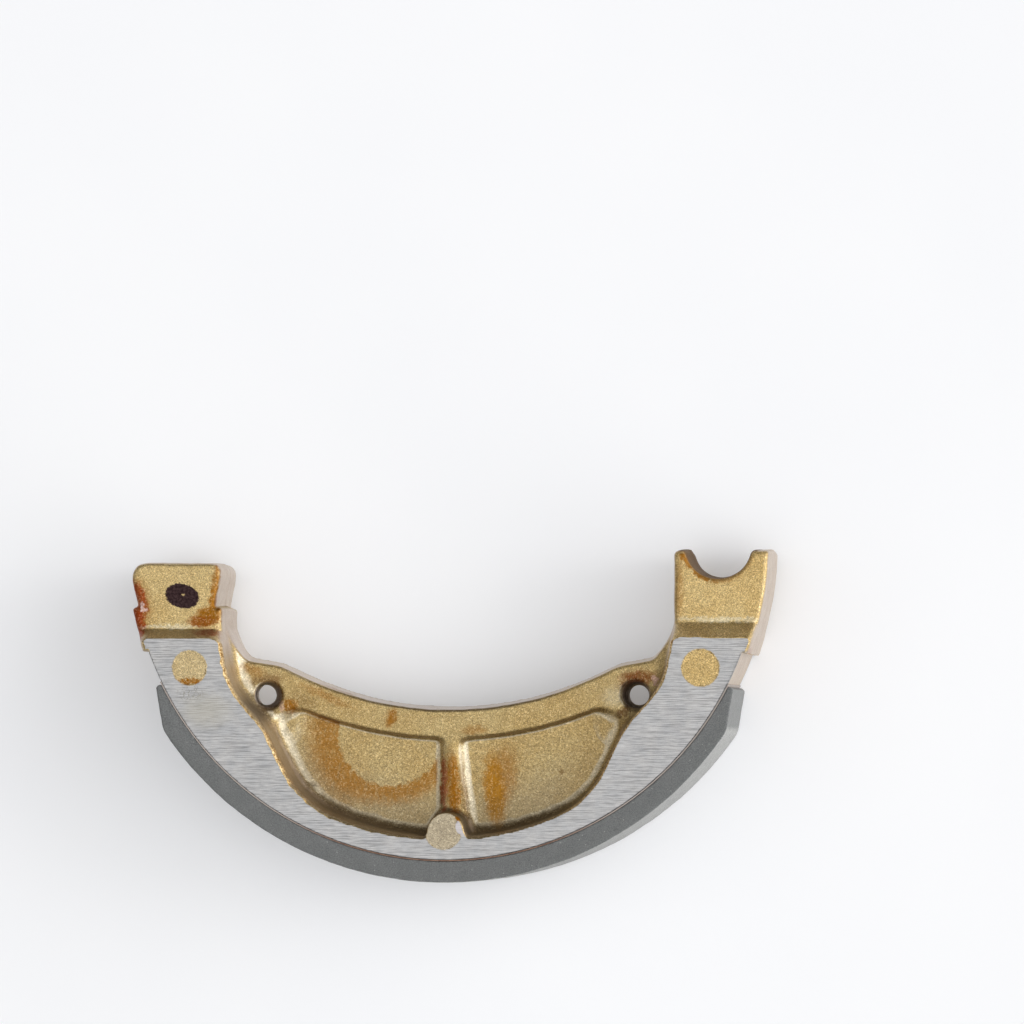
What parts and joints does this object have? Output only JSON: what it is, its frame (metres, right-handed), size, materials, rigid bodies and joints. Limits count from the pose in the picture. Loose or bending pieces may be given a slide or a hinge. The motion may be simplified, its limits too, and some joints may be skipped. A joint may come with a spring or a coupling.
{
  "type": "brake shoe",
  "caption": "Curved cast aluminium drum brake shoe with a bonded friction lining, a flat cam face, a half-round anchor pin seat, a ribbed web and spring holes.",
  "frame": {"origin": "the drum axis, where it meets the plane of the shoe's lower side face", "axes": "+Z along the drum axis, from the lower side face to the upper one; +X towards the anchor end; the arc opens towards +Y"},
  "size_m": [0.085, 0.044, 0.02],
  "materials": {
    "shoe_casting": "satin",
    "friction_lining": "matte",
    "adhesive_film": "matte"
  },
  "bodies": {
    "root": {"shoe_casting": "shoe_casting", "friction_lining": "friction_lining", "adhesive_film": "adhesive_film"}
  },
  "joints": []
}
